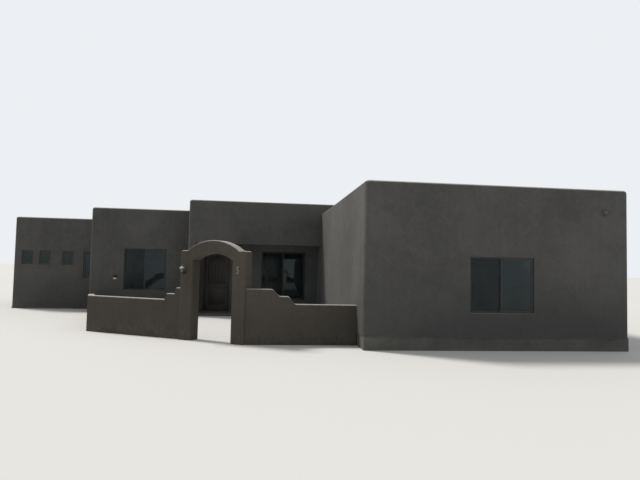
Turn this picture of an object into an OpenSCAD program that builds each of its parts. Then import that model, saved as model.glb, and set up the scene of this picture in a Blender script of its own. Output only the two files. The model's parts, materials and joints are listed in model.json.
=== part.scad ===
// Single-storey adobe house: four flat-roofed stucco blocks, a recessed porch
// and a walled forecourt with an arched gateway. Front faces -Y, Z is up, and
// z = 0 is the lowest ground that the walls meet.

/* [Walls] */
// Thickness of every outer wall
wall_t = 250; // [180:5:360]
// Radius of the soft edge along the parapet tops
cap_r = 80; // [20:5:80]
// Radius of the soft vertical corners
corner_r = 120; // [40:5:150]
// Height of the parapet above the roof deck
parapet_h = 420; // [250:10:600]
// Thickness of the roof decks
roof_t = 180; // [100:10:260]

/* [Right block] */
// Width of the right block
right_w = 6310; // [5500:10:8000]
// Distance from the right block's front to the centre block's front
right_d = 7845; // [6500:5:9500]
// Height of the right block
right_h = 3765; // [3300:5:4000]
// Height of the bare foundation below the right block's stucco
stem_h = 305; // [150:5:400]
// Set back of the foundation face behind the stucco
stem_inset = 20; // [5:1:40]

/* [Centre block] */
// Length of the centre block's front beside the right block
centre_over = 4735; // [4200:5:5600]
// Depth of the centre block
centre_d = 8000; // [6500:10:10000]
// Height of the centre block
centre_h = 4120; // [3900:5:4600]
// Height of the house floor above the lowest ground
floor_h = 60; // [30:5:150]

/* [Left block] */
// Width of the left block
left_w = 3660; // [3200:10:5000]
// Depth of the left block
left_d = 6200; // [4500:10:6600]
// Set back of the left block behind the centre block's front
left_set = 1205; // [500:5:1500]
// Height of the left block
left_h = 3845; // [3600:5:4050]

/* [End block] */
// Width of the end block
end_w = 3130; // [2950:10:4200]
// Depth of the end block
end_d = 4600; // [3600:10:4900]
// Set back of the end block behind the left block's front
end_set = 1190; // [500:5:1500]
// Height of the end block
end_h = 3500; // [3200:5:3750]

/* [Porch] */
// Depth of the porch behind the centre block's front
porch_d = 1500; // [1000:10:2200]
// Height of the beam soffit over the porch
beam_h = 2575; // [2450:5:2800]
// Rise of the porch ceiling above the beam soffit
ceiling_rise = 150; // [50:10:300]
// Thickness of the porch ceiling
ceiling_t = 120; // [60:10:200]

/* [Windows] */
// Width of the large windows in the right and left blocks
window_w = 1525; // [1200:5:1700]
// Height of the right block's window
right_window_h = 1260; // [900:5:1500]
// Sill height of the right block's window
right_window_z = 845; // [600:5:1000]
// Distance from the right block's left edge to its window
right_window_x = 2430; // [1000:10:3500]
// Height of the left block's window
left_window_h = 1550; // [900:5:1600]
// Sill height of the left block's window
left_window_z = 800; // [600:5:1000]
// Distance from the left block's left edge to its window
left_window_x = 1220; // [400:5:1600]
// Width of the porch window
porch_window_w = 1700; // [1200:5:1750]
// Height of the porch window
porch_window_h = 1840; // [1200:5:1900]
// Sill height of the porch window
porch_window_z = 530; // [300:5:700]
// Distance from the porch window to the right block's wall
porch_window_gap = 410; // [300:5:700]
// Width of the end block's windows
small_window_w = 405; // [300:5:450]
// Height of the three square-like windows of the end block
small_window_h = 545; // [300:5:600]
// Sill height of the three small windows
small_window_z = 1665; // [1400:5:1900]
// Height of the end block's taller window, under the same head
tall_window_h = 1035; // [700:5:1200]
// Distance from the taller window to the left block's wall
tall_window_gap = 155; // [100:5:200]
// Set back of the window frames behind the stucco face
reveal = 25; // [10:5:90]
// Depth of the window frames
frame_d = 70; // [60:2:90]
// Width of the window frames' bars
frame_bar = 28; // [20:1:45]
// Width of the sashes' bars
sash_bar = 34; // [25:1:50]
// Thickness of the sealed glass
glass_t = 20; // [12:1:24]

/* [Front door] */
// Distance from the porch's left corner outside to the door's middle
door_x = 920; // [850:5:1400]
// Width of the door leaf
door_w = 910; // [800:5:960]
// Height of the leaf at its crown
door_h = 2230; // [2100:5:2300]
// Radius of the leaf's arched top
door_arch_r = 640; // [560:5:900]
// Thickness of the leaf
door_t = 44; // [38:1:60]
// Width of the stiles and the top rail round the leaf's panels
door_stile = 125; // [105:5:180]
// Height of the leaf's bottom rail
bottom_rail = 220; // [150:5:300]
// Height of the leaf's middle rail
middle_rail = 150; // [100:5:220]
// Height of the middle rail's underside above the sill
middle_rail_z = 855; // [700:5:950]
// Depth of the sunk panels on each face
panel_sink = 12; // [6:1:15]
// Running gap round the leaf
door_gap = 7; // [6.5:0.5:10]
// Width of the door frame
door_frame_w = 45; // [35:1:60]
// Depth of the door frame
door_frame_d = 130; // [100:5:150]
// Height of the lever above the sill
lever_h = 900; // [800:5:1100]
// Height of each hinge
hinge_h = 110; // [80:2:140]
// Radius of the hinge knuckles
knuckle_r = 8; // [7:0.5:10]
// Radius of the hinge pins
pin_r = 4; // [3:0.25:4.5]

/* [Gateway] */
// Turn of the gateway and the left court wall in plan, in degrees
gate_turn = 30; // [20:1:34]
// Distance from the right block's left face to the gateway's near corner
gate_x = 2596; // [2300:2:3200]
// Distance from the right block's front to the gateway's near corner
gate_y = 725; // [500:5:1100]
// Width of the gateway over both piers
gate_w = 1800; // [1650:10:2000]
// Depth of the gateway
gate_d = 320; // [290:5:380]
// Clear width of the gateway's opening
gate_open_w = 1095; // [950:5:1150]
// Height of the opening at its sides
gate_spring = 1900; // [1750:5:1980]
// Height of the opening at its crown
gate_crown = 2065; // [2030:5:2100]
// Height of the gateway's shoulders
gate_shoulder = 2130; // [2110:5:2200]
// Height of the gateway's crest
gate_crest = 2375; // [2320:5:2450]
// Width of the arched crest between the shoulders
crest_w = 1420; // [1200:10:1500]
// Radius of the shoulders' outer corners
shoulder_r = 60; // [50:5:90]
// Softness of the gateway's and court walls' edges
soft_r = 35; // [15:1:45]

/* [Court walls] */
// Thickness of the court walls
court_t = 180; // [140:5:190]
// Set back of the court walls behind the gateway's face
court_set = 50; // [48:1:60]
// Height of the long low stretches
court_low = 932; // [850:2:1000]
// Height of the left wall's middle step
left_court_mid = 1080; // [1020:2:1140]
// Height of the left wall's step against the gateway
left_court_high = 1230; // [1180:2:1300]
// Height of the right wall's middle step
right_court_mid = 1108; // [1020:2:1140]
// Height of the right wall's step against the gateway
right_court_high = 1268; // [1180:2:1300]
// Length of the left court wall from the gateway to its corner
court_left_l = 2965; // [2600:5:3300]
// Inset of the return wall from the left block's corner
return_inset = 60; // [40:5:200]
// Height of the return wall between its two steps
return_mid = 770; // [700:5:830]
// Height of the return wall where it meets the left block
return_low = 600; // [500:5:680]

/* [Fittings] */
// Distance from the gateway's left edge to the lantern's middle
lantern_x = 140; // [110:5:200]
// Width of the lantern's roof over its corners
lantern_w = 150; // [120:5:220]
// Height of the lantern
lantern_h = 240; // [220:5:360]
// Height of the lantern's roof with its finial
lantern_roof_h = 95; // [70:5:120]
// Width of the lantern's glass over its corners
lantern_glass_w = 80; // [60:2:95]
// Height of the lantern's foot above the ground
lantern_z = 1550; // [1450:5:1650]
// Diameter of the round vent cap
vent_d = 190; // [160:5:220]
// Diameter of the vent cap's collar
vent_collar_d = 144; // [130:2:156]
// Depth of the vent cap in front of the stucco
vent_out = 45; // [35:1:80]
// Height of the vent cap's middle
vent_z = 3220; // [3000:5:3230]
// Distance from the right block's right edge to the vent cap's middle
vent_x = 595; // [400:5:900]
// Width of the left block's wall lamp
lamp_w = 140; // [100:5:180]
// Height of the wall lamp
lamp_h = 140; // [100:5:200]
// Height of the lamp's middle above the ground
lamp_z = 1270; // [1150:5:1800]
// Distance from the left block's left edge to the lamp's middle
lamp_x = 925; // [500:5:1000]

/* [Hidden] */
$fn = 48;
eps = 1;
stucco = [0.36, 0.33, 0.29];
bronze = [0.13, 0.11, 0.10];
concrete = [0.55, 0.53, 0.50];
roofing = [0.62, 0.60, 0.56];
glazing = [0.16, 0.20, 0.24];
timber = [0.22, 0.12, 0.08];
lamp_glass = [0.90, 0.88, 0.80];

overall_w = end_w + left_w + centre_over + right_w;
overall_d = vent_out + right_d + centre_d;
right_x0 = overall_w / 2 - right_w;
right_x1 = overall_w / 2;
front_y = vent_out - overall_d / 2;
centre_x0 = right_x0 - centre_over;
centre_x1 = right_x1 - wall_t;
centre_y0 = front_y + right_d;
centre_y1 = overall_d / 2;
left_x0 = centre_x0 - left_w;
left_y0 = centre_y0 + left_set;
left_y1 = left_y0 + left_d;
end_x0 = left_x0 - end_w;
end_y0 = left_y0 + end_set;
end_y1 = end_y0 + end_d;
entry_y = centre_y0 + porch_d;
entry_top = centre_h - parapet_h - roof_t;
ceiling_z = beam_h + ceiling_rise;

// Passages between the blocks
pass_w = 1200;
pass_h = 2200;
pass_inset = 1500;

// Door frame and opening
door_open_w = door_w + 2 * (door_gap + door_frame_w);
door_mid_x = centre_x0 + door_x;
door_sill = floor_h + door_gap;
door_arch_z = door_sill + door_h - door_arch_r;
stop_lap = 14;
entry_inner_y = entry_y + wall_t;

// Levers and bolt turns: roses, spindles and how far they stand off the leaf
handle_inset = 66;
lever_rose_r = 28;
lever_rose_t = 8;
lever_r = 9;
lever_out = 42;
lever_len = 110;
bolt_rise = 140;
bolt_rose_r = 26;
bolt_rose_t = 10;
bolt_r = 14;
bolt_out = 22;

// Hinges: the lowest one's height, the top one's distance below the crown, and clearances
hinge_foot = 220;
hinge_drop = 360;
hinge_top = door_h - hinge_drop - hinge_h;
hinge_heights = [hinge_foot, (hinge_foot + hinge_top) / 2, hinge_top];
hinge_plate_t = 2.5;
hinge_plate_d = 34;
hinge_plate_gap = 1;
pin_clearance = 0.1;
knuckle_gap = 0.3;
hinge_x = door_mid_x - door_w / 2 - door_gap / 2;
hinge_y = entry_inner_y + knuckle_r;

// End block's windows: their left edges from its left corner, and the head that they share
end_window_x = [300, 940, 1785, end_w - tall_window_gap - small_window_w];
end_head = small_window_z + small_window_h;

// Sashes: their set back in the frame, thickness, stand in the grooves and lap where they meet
sash_set = 6;
sash_t = frame_d / 2 - sash_set;
sash_seat = 6;
sash_lap = 2;

// Rear and side windows, like the front ones
rear_window_w = window_w;
rear_window_h = left_window_h;
rear_window_z = left_window_z;
rear_edge = 1200;
side_window_gap = 1600;

// Gateway, and the courtyard corner where the left court wall meets the return wall
pier_w = (gate_w - gate_open_w) / 2;
gate_joint = gate_spring - soft_r;
soft_steps = 4;
// Hairline joint where a court wall closes at an angle against what it meets
hairline = 0.3;
gate_near = [right_x0 - gate_x, front_y + gate_y];
gate_run = [-cos(gate_turn), sin(gate_turn)];
gate_in = [sin(gate_turn), cos(gate_turn)];
gate_far = gate_near + gate_w * gate_run;
court_corner = gate_far + court_set * gate_in + court_left_l * gate_run;
return_end = [left_x0 + return_inset, left_y0];
return_run = return_end - court_corner;
return_l = norm(return_run);
return_dir = return_run / return_l;
return_in = [return_dir[1], -return_dir[0]];
court_mitre = mitre(gate_in, return_in);

// Starts and ends of the walls' two steps: along each court wall from the gateway, and
// along the return wall from the courtyard corner
right_steps = [575, 800, 955, 1160];
left_steps = [140, 200, 425, 495];
return_steps = [650, 810, 1250, 1410];
right_heights = [right_court_high, right_court_mid, court_low];
left_heights = [left_court_high, left_court_mid, court_low];
return_heights = [court_low, return_mid, return_low];

// Lantern: how far its middle stands off the pier, heights above its foot, bars and finial
lantern_clear = 35;
lantern_out = lantern_w / 2 + lantern_clear;
lantern_plate_r = 38;
lantern_plate_t = 12;
lantern_arm_z = 40;
lantern_arm_r = 7;
lantern_base_z = 52;
lantern_base_t = 10;
lantern_roof_z = lantern_h - lantern_roof_h;
lantern_bar = 6;
lantern_bar_gap = 1;
lantern_crown_w = 46;
lantern_finial_r = 14;
lantern_finial_h = 20;
lantern_tip_r = 7;
lantern_tip_h = 13;

// Vent cap: thickness of the flange, and the ring sunk in the collar's face
vent_flange_t = 14;
vent_ring_w = 14;
vent_ring_inset = 12;
vent_ring_sink = 15;

// Set back of the wall lamp's lens inside its hood
lamp_lip = 8;

// Wall along +X with its outer face on y = 0, its ends mitred or square
module straight_wall(len, base, top, mitre_a, mitre_b) {
    a = mitre_a ? wall_t : 0;
    b = mitre_b ? wall_t : 0;
    intersection() {
        translate([0, 0, base])
            rotate([90, 0, 90])
                linear_extrude(len)
                    capped_profile(top - base);
        difference() {
            linear_extrude(top + eps)
                polygon([[0, 0], [len, 0], [len - b, wall_t], [a, wall_t]]);
            if (mitre_a) corner_waste(top);
            if (mitre_b) translate([len, 0, 0]) mirror([1, 0, 0]) corner_waste(top);
        }
    }
}

// Cross-section of a wall with both top edges rounded
module capped_profile(h) {
    square([wall_t, h - cap_r]);
    translate([cap_r, 0]) square([wall_t - 2 * cap_r, h]);
    for (y = [cap_r, wall_t - cap_r]) translate([y, h - cap_r]) circle(cap_r);
}

// Wall that ends at a plain square top, under a roof or a ceiling
module plain_wall(len, base, top) {
    translate([0, 0, base]) cube([len, wall_t, top - base]);
}

// What rounding a vertical corner at the origin takes away
module corner_waste(top) {
    translate([0, 0, -eps])
        linear_extrude(top + 2 * eps)
            difference() {
                translate([-eps, -eps]) square(corner_r + eps);
                translate([corner_r, corner_r]) circle(corner_r);
            }
}

// Frames of reference for the walls: x runs along the wall, y goes inwards
module on_front(x, y) { translate([x, y, 0]) children(); }
module on_right(x, y) { translate([x, y, 0]) rotate([0, 0, 90]) children(); }
module on_back(x, y) { translate([x, y, 0]) rotate([0, 0, 180]) children(); }
module on_left(x, y) { translate([x, y, 0]) rotate([0, 0, -90]) children(); }
module on_gate() {
    translate([gate_far[0], gate_far[1], 0]) rotate([0, 0, -gate_turn]) children();
}

module window_hole(x, z, w, h) {
    translate([x, -eps, z]) cube([w, wall_t + 2 * eps, h]);
}

module passage_hole(x, base) {
    translate([x, -eps, base]) cube([pass_w, wall_t + 2 * eps, pass_h]);
}

// Upright ring with bars of one width on all four sides
module ring(w, h, bar, depth) {
    difference() {
        cube([w, depth, h]);
        translate([bar, -eps, bar]) cube([w - 2 * bar, depth + 2 * eps, h - 2 * bar]);
    }
}

// Left edge, width and set back of each sash: a pair slides in two tracks, the right one in front
function sashes(w, lights) =
    let (clear = w - 2 * frame_bar,
         half = (clear + sash_bar) / 2)
    lights == 1
        ? [[frame_bar, clear, sash_set]]
        : [[frame_bar, half, sash_set + sash_t - sash_lap], [w - frame_bar - half, half, sash_set]];

// Frame and its sashes, seated on all four sides of the hole
module window_frame(x, z, w, h, lights) {
    translate([x, reveal, z]) {
        ring(w, h, frame_bar, frame_d);
        for (s = sashes(w, lights))
            translate([s[0] - sash_seat, s[2], frame_bar - sash_seat])
                ring(s[1] + 2 * sash_seat, h - 2 * (frame_bar - sash_seat), sash_bar + sash_seat, sash_t);
    }
}

module window_glass(x, z, w, h, lights) {
    for (s = sashes(w, lights))
        translate([x + s[0] + sash_bar,
                   reveal + s[2] + (sash_t - glass_t) / 2, z + frame_bar + sash_bar])
            cube([s[1] - 2 * sash_bar, glass_t, h - 2 * (frame_bar + sash_bar)]);
}

// Outline with an arched top, in x and z, its middle on x = 0
module arched_outline(w, arch_r, arch_z, foot) {
    spring = arch_z + sqrt(arch_r * arch_r - w * w / 4);
    translate([-w / 2, foot]) square([w, spring - foot]);
    intersection() {
        translate([0, arch_z]) circle(arch_r, $fn = 96);
        translate([-w / 2, spring - eps]) square([w, arch_r]);
    }
}

// Solid from an outline in x and z, running back from y = 0
module upright(depth) {
    translate([0, depth, 0]) rotate([90, 0, 0]) linear_extrude(depth) children();
}

// Solid from a closed outline in x and z, running back from y = 0. Its edges are rounded,
// and it is cut off flat where its upright sides pass the height of the base.
module softened(outline, depth, base) {
    count = len(outline);
    front = [for (i = [0 : soft_steps])
                let (a = 90 * i / soft_steps) soft_r * [1 - sin(a), 1 - cos(a)]];
    back = [for (i = [soft_steps : -1 : 0]) [front[i][0], depth - front[i][1]]];
    rings = concat(front, back);
    last = len(rings) - 1;
    polyhedron(
        points = [for (ring = rings) for (p = inset(outline, ring[0])) [p[0], ring[1], max(p[1], base)]],
        faces = concat([[for (j = [count - 1 : -1 : 0]) j]],
                       [[for (j = [0 : count - 1]) last * count + j]],
                       bands(last, count)));
}

// Four-sided faces between neighbouring rings of a polyhedron
function bands(last, count) =
    [for (i = [0 : last - 1]) for (j = [0 : count - 1]) let (k = (j + 1) % count)
        [i * count + j, i * count + k, (i + 1) * count + k, (i + 1) * count + j]];

// Unit normal of the edge from a to b, towards the inside of an anticlockwise outline
function inward(a, b) = [a[1] - b[1], b[0] - a[0]] / norm(b - a);

// Step from the corner of two unit normals to the corner of the lines a unit inside
function mitre(n1, n2) = (n1 + n2) / (1 + n1 * n2);

function inset(outline, d) =
    [for (i = [0 : len(outline) - 1])
        let (p = outline[i],
             before = outline[(i + len(outline) - 1) % len(outline)],
             after = outline[(i + 1) % len(outline)])
        p + d * mitre(inward(before, p), inward(p, after))];

function arc(centre, r, from, to, n) =
    [for (i = [0 : n]) let (a = from + (to - from) * i / n) centre + r * [cos(a), sin(a)]];

function s_curve(x1, z1, x2, z2, n = 8) =
    [for (i = [0 : n]) [x1 + (x2 - x1) * i / n, z1 + (z2 - z1) * (1 - cos(180 * i / n)) / 2]];

// Court wall along +X from its heights at a list of places, its top edges rounded.
// Its ends follow their slopes in plan, so that they close against what they meet.
module court_wall(places, slope_a, slope_b) {
    front = [for (i = [0 : soft_steps])
                let (a = 90 * i / soft_steps) soft_r * [1 - cos(a), sin(a) - 1]];
    back = [for (i = [soft_steps : -1 : 0]) [court_t - front[i][0], front[i][1]]];
    top = concat(front, back);
    count = len(top) + 2;
    last = len(places) - 1;
    polyhedron(
        points = [for (i = [0 : last])
                     let (slope = i == 0 ? slope_a : i == last ? slope_b : 0,
                          x = places[i][0],
                          h = places[i][1],
                          section = concat([[0, 0]], [for (p = top) [p[0], h + p[1]]], [[court_t, 0]]))
                     for (p = section) [x + slope * p[0], p[0], p[1]]],
        faces = concat([[for (j = [count - 1 : -1 : 0]) j]],
                       [[for (j = [0 : count - 1]) last * count + j]],
                       bands(last, count)));
}

// Heights of a wall that starts at x = 0 and steps down twice, through three heights
function stepped_places(len, steps, heights) =
    concat([[hairline, heights[0]]],
           s_curve(steps[0], heights[0], steps[1], heights[1]),
           s_curve(steps[2], heights[1], steps[3], heights[2]),
           [[len, heights[2]]]);

// Front view of the gateway: shoulders, arched crest and arched opening
function gateway_outline() =
    let (rise = gate_crest - gate_shoulder,
         crest_r = (crest_w * crest_w / 4 + rise * rise) / (2 * rise),
         crest_half = asin(crest_w / 2 / crest_r),
         lift = gate_crown - gate_spring,
         opening_r = (gate_open_w * gate_open_w / 4 + lift * lift) / (2 * lift),
         opening_half = asin(gate_open_w / 2 / opening_r),
         foot = gate_joint - 2 * soft_r)
    concat([[0, foot], [pier_w, foot]],
           arc([gate_w / 2, gate_crown - opening_r], opening_r, 90 + opening_half, 90 - opening_half, 24),
           [[gate_w - pier_w, foot], [gate_w, foot]],
           arc([gate_w - shoulder_r, gate_shoulder - shoulder_r], shoulder_r, 0, 90, 6),
           arc([gate_w / 2, gate_crest - crest_r], crest_r, 90 - crest_half, 90 + crest_half, 28),
           arc([shoulder_r, gate_shoulder - shoulder_r], shoulder_r, 90, 180, 6));

// Gateway pier from the ground to its joint with the arch, its upright edges rounded
module pier() {
    linear_extrude(gate_joint) {
        translate([soft_r, 0]) square([pier_w - 2 * soft_r, gate_d]);
        translate([0, soft_r]) square([pier_w, gate_d - 2 * soft_r]);
        for (x = [soft_r, pier_w - soft_r])
            for (y = [soft_r, gate_d - soft_r])
                translate([x, y]) circle(soft_r);
    }
}

// Right block
module right_front_wall() {
    color(stucco)
        on_front(right_x0, front_y)
            difference() {
                straight_wall(right_w, stem_h, right_h, true, true);
                window_hole(right_window_x, right_window_z, window_w, right_window_h);
            }
}

module right_outer_wall() {
    len = right_d + wall_t;
    color(stucco)
        on_right(right_x1, front_y)
            difference() {
                straight_wall(len, stem_h, right_h, true, false);
                window_hole(right_d - side_window_gap - window_w, right_window_z, window_w, right_window_h);
                window_hole(side_window_gap, right_window_z, window_w, right_window_h);
            }
}

module right_inner_wall() {
    color(stucco)
        on_left(right_x0, centre_y0)
            straight_wall(right_d, stem_h, right_h, false, true);
}

// Centre block
module porch_beam_wall() {
    color(stucco)
        on_front(centre_x0, centre_y0)
            straight_wall(centre_over, beam_h, centre_h, true, false);
}

module centre_front_wall() {
    color(stucco)
        on_front(right_x0, centre_y0)
            difference() {
                straight_wall(centre_x1 - right_x0, floor_h, centre_h, false, false);
                passage_hole(pass_inset, stem_h);
            }
}

module centre_right_wall() {
    color(stucco)
        on_right(centre_x1, centre_y0 + wall_t)
            difference() {
                straight_wall(centre_d - wall_t, floor_h, centre_h, false, true);
                window_hole(mid_window_x(centre_d), rear_window_z, rear_window_w, rear_window_h);
            }
}

module centre_back_wall() {
    len = centre_x1 - centre_x0;
    color(stucco)
        on_back(centre_x1, centre_y1)
            difference() {
                straight_wall(len, floor_h, centre_h, true, true);
                for (x = rear_window_places(len))
                    window_hole(x, rear_window_z, rear_window_w, rear_window_h);
            }
}

module centre_left_wall() {
    color(stucco)
        on_left(centre_x0, centre_y1)
            difference() {
                straight_wall(centre_d, floor_h, centre_h, true, true);
                passage_hole(centre_y1 - left_y1 + pass_inset, floor_h);
            }
}

// Left edge of a rear window in the middle of a wall
function mid_window_x(len) = (len - rear_window_w) / 2;

// Left edges of the three windows spread along the centre block's back wall
function rear_window_places(len) =
    [rear_edge, mid_window_x(len), len - rear_edge - rear_window_w];

// Porch
module porch_side_wall() {
    color(stucco)
        on_left(right_x0, entry_inner_y)
            plain_wall(porch_d, floor_h, entry_top);
}

module entry_wall_left() {
    color(stucco)
        on_front(centre_x0 + wall_t, entry_y)
            plain_wall(door_x - wall_t - door_open_w / 2, floor_h, entry_top);
}

module entry_wall_over_door() {
    spring = door_spring(door_open_w, door_gap + door_frame_w);
    color(stucco)
        on_front(door_mid_x, entry_y)
            upright(wall_t)
                difference() {
                    translate([-door_open_w / 2, spring]) square([door_open_w, entry_top - spring]);
                    door_outline(door_gap + door_frame_w, floor_h);
                }
}

module entry_wall_right() {
    x0 = door_mid_x + door_open_w / 2;
    color(stucco)
        on_front(x0, entry_y)
            difference() {
                plain_wall(right_x0 - x0, floor_h, entry_top);
                window_hole(right_x0 - x0 - porch_window_gap - porch_window_w, porch_window_z,
                            porch_window_w, porch_window_h);
            }
}

function door_spring(w, grow) = door_arch_z + sqrt(pow(door_arch_r + grow, 2) - w * w / 4);

// The leaf's outline, grown outwards on its sides and top
module door_outline(grow, foot) {
    arched_outline(door_w + 2 * grow, door_arch_r + grow, door_arch_z, foot);
}

module porch_ceiling() {
    color(stucco)
        translate([centre_x0 + wall_t, centre_y0 + wall_t, ceiling_z])
            cube([centre_over - wall_t, porch_d - wall_t, ceiling_t]);
}

// Left block
module left_front_wall() {
    color(stucco)
        on_front(left_x0, left_y0)
            difference() {
                straight_wall(left_w, floor_h, left_h, true, false);
                window_hole(left_window_x, left_window_z, window_w, left_window_h);
            }
}

module left_back_wall() {
    color(stucco)
        on_back(centre_x0, left_y1)
            difference() {
                straight_wall(left_w, floor_h, left_h, false, true);
                window_hole(mid_window_x(left_w), rear_window_z, rear_window_w, rear_window_h);
            }
}

module left_outer_wall() {
    color(stucco)
        on_left(left_x0, left_y1)
            difference() {
                straight_wall(left_d, floor_h, left_h, true, true);
                passage_hole(left_y1 - end_y1 + pass_inset, floor_h);
            }
}

// End block
module end_front_wall() {
    color(stucco)
        on_front(end_x0, end_y0)
            difference() {
                straight_wall(end_w, floor_h, end_h, true, false);
                for (i = [0 : 3])
                    window_hole(end_window_x[i], end_head - end_window_h(i), small_window_w, end_window_h(i));
            }
}

function end_window_h(i) = i < 3 ? small_window_h : tall_window_h;

module end_back_wall() {
    color(stucco)
        on_back(left_x0, end_y1)
            difference() {
                straight_wall(end_w, floor_h, end_h, false, true);
                window_hole(mid_window_x(end_w), rear_window_z, rear_window_w, rear_window_h);
            }
}

module end_outer_wall() {
    color(stucco)
        on_left(end_x0, end_y1)
            straight_wall(end_d, floor_h, end_h, true, true);
}

// Roof decks, held between the walls below the parapets
module roof_deck(x0, y0, x1, y1, top) {
    color(roofing)
        translate([x0, y0, top - parapet_h - roof_t])
            cube([x1 - x0, y1 - y0, roof_t]);
}

module right_roof() {
    roof_deck(right_x0 + wall_t, front_y + wall_t, right_x1 - wall_t, centre_y0, right_h);
}

module centre_roof() {
    roof_deck(centre_x0 + wall_t, centre_y0 + wall_t, centre_x1 - wall_t, centre_y1 - wall_t, centre_h);
}

module left_roof() {
    roof_deck(left_x0 + wall_t, left_y0 + wall_t, centre_x0, left_y1 - wall_t, left_h);
}

module end_roof() {
    roof_deck(end_x0 + wall_t, end_y0 + wall_t, left_x0, end_y1 - wall_t, end_h);
}

// Foundations and floors
module right_foundation() {
    color(concrete)
        translate([right_x0 + stem_inset, front_y + stem_inset, 0])
            cube([right_w - 2 * stem_inset, right_d - stem_inset, stem_h]);
    color(concrete)
        translate([centre_x1, centre_y0 - eps, 0])
            cube([wall_t - stem_inset, wall_t - stem_inset + eps, stem_h]);
}

module house_floor() {
    color(concrete) {
        slab(centre_x0, centre_y0, centre_x1, centre_y1);
        slab(left_x0, left_y0, centre_x0 + 2 * stem_inset, left_y1);
        slab(end_x0, end_y0, left_x0 + 2 * stem_inset, end_y1);
    }
}

module slab(x0, y0, x1, y1) {
    translate([x0 + stem_inset, y0, 0])
        cube([x1 - x0 - 2 * stem_inset, y1 - y0 - stem_inset, floor_h]);
}

// Windows
module front_window_frames() {
    color(bronze) {
        on_front(right_x0, front_y)
            window_frame(right_window_x, right_window_z, window_w, right_window_h, 2);
        on_front(left_x0, left_y0)
            window_frame(left_window_x, left_window_z, window_w, left_window_h, 2);
        on_front(right_x0 - porch_window_gap - porch_window_w, entry_y)
            window_frame(0, porch_window_z, porch_window_w, porch_window_h, 2);
    }
}

module end_window_frames() {
    color(bronze)
        on_front(end_x0, end_y0)
            for (i = [0 : 3])
                window_frame(end_window_x[i], end_head - end_window_h(i), small_window_w, end_window_h(i), 1);
}

module rear_window_frames() {
    len = centre_x1 - centre_x0;
    color(bronze) {
        on_back(centre_x1, centre_y1)
            for (x = rear_window_places(len))
                window_frame(x, rear_window_z, rear_window_w, rear_window_h, 2);
        on_right(centre_x1, centre_y0 + wall_t)
            window_frame(mid_window_x(centre_d), rear_window_z, rear_window_w, rear_window_h, 2);
        on_back(centre_x0, left_y1)
            window_frame(mid_window_x(left_w), rear_window_z, rear_window_w, rear_window_h, 2);
        on_back(left_x0, end_y1)
            window_frame(mid_window_x(end_w), rear_window_z, rear_window_w, rear_window_h, 2);
        on_right(right_x1, front_y)
            for (x = [side_window_gap, right_d - side_window_gap - window_w])
                window_frame(x, right_window_z, window_w, right_window_h, 2);
    }
}

module front_window_glass() {
    color(glazing) {
        on_front(right_x0, front_y)
            window_glass(right_window_x, right_window_z, window_w, right_window_h, 2);
        on_front(left_x0, left_y0)
            window_glass(left_window_x, left_window_z, window_w, left_window_h, 2);
        on_front(right_x0 - porch_window_gap - porch_window_w, entry_y)
            window_glass(0, porch_window_z, porch_window_w, porch_window_h, 2);
        on_front(end_x0, end_y0)
            for (i = [0 : 3])
                window_glass(end_window_x[i], end_head - end_window_h(i), small_window_w, end_window_h(i), 1);
    }
}

module rear_window_glass() {
    len = centre_x1 - centre_x0;
    color(glazing) {
        on_back(centre_x1, centre_y1)
            for (x = rear_window_places(len))
                window_glass(x, rear_window_z, rear_window_w, rear_window_h, 2);
        on_right(centre_x1, centre_y0 + wall_t)
            window_glass(mid_window_x(centre_d), rear_window_z, rear_window_w, rear_window_h, 2);
        on_back(centre_x0, left_y1)
            window_glass(mid_window_x(left_w), rear_window_z, rear_window_w, rear_window_h, 2);
        on_back(left_x0, end_y1)
            window_glass(mid_window_x(end_w), rear_window_z, rear_window_w, rear_window_h, 2);
        on_right(right_x1, front_y)
            for (x = [side_window_gap, right_d - side_window_gap - window_w])
                window_glass(x, right_window_z, window_w, right_window_h, 2);
    }
}

// Front door: the leaf closes flush with the inside of the wall
module door_frame() {
    stop_d = door_frame_d - door_t - door_gap;
    color(timber)
        on_front(door_mid_x, entry_inner_y - door_frame_d)
            difference() {
                upright(door_frame_d) door_outline(door_gap + door_frame_w, floor_h);
                translate([0, stop_d, 0])
                    upright(door_frame_d)
                        door_outline(door_gap, floor_h - eps);
                translate([0, -eps, 0])
                    upright(door_frame_d)
                        door_outline(-stop_lap, floor_h - eps);
            }
}

// Leaf with an arched upper panel and a plain lower one, sunk in both faces
module door_leaf() {
    color(timber)
        on_front(door_mid_x, entry_inner_y - door_t)
            difference() {
                upright(door_t) door_outline(0, door_sill);
                for (y = [-eps, door_t - panel_sink])
                    translate([0, y, 0])
                        upright(panel_sink + eps) {
                            door_outline(-door_stile, door_sill + middle_rail_z + middle_rail);
                            translate([door_stile - door_w / 2, door_sill + bottom_rail])
                                square([door_w - 2 * door_stile, middle_rail_z - bottom_rail]);
                        }
            }
}

// Levers and bolt turns on both faces of the leaf
module door_hardware() {
    x = door_mid_x + door_w / 2 - handle_inset;
    z = floor_h + lever_h;
    color(bronze)
        for (side = [-1, 1])
            translate([x, entry_inner_y - door_t / 2 + side * door_t / 2, z])
                rotate([side > 0 ? -90 : 90, 0, 0]) {
                    lever();
                    translate([0, -side * bolt_rise, 0]) bolt_turn();
                }
}

module lever() {
    cylinder(h = lever_rose_t, r = lever_rose_r);
    cylinder(h = lever_out + lever_r, r = lever_r);
    translate([0, 0, lever_out]) rotate([0, -90, 0]) cylinder(h = lever_len, r = lever_r);
}

module bolt_turn() {
    cylinder(h = bolt_rose_t, r = bolt_rose_r);
    cylinder(h = bolt_out, r = bolt_r);
}

// Hinges: the pin and the end knuckles are on the frame, the middle knuckle on the leaf
module at_hinges() {
    for (z = hinge_heights)
        translate([hinge_x, hinge_y, floor_h + z]) children();
}

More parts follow.
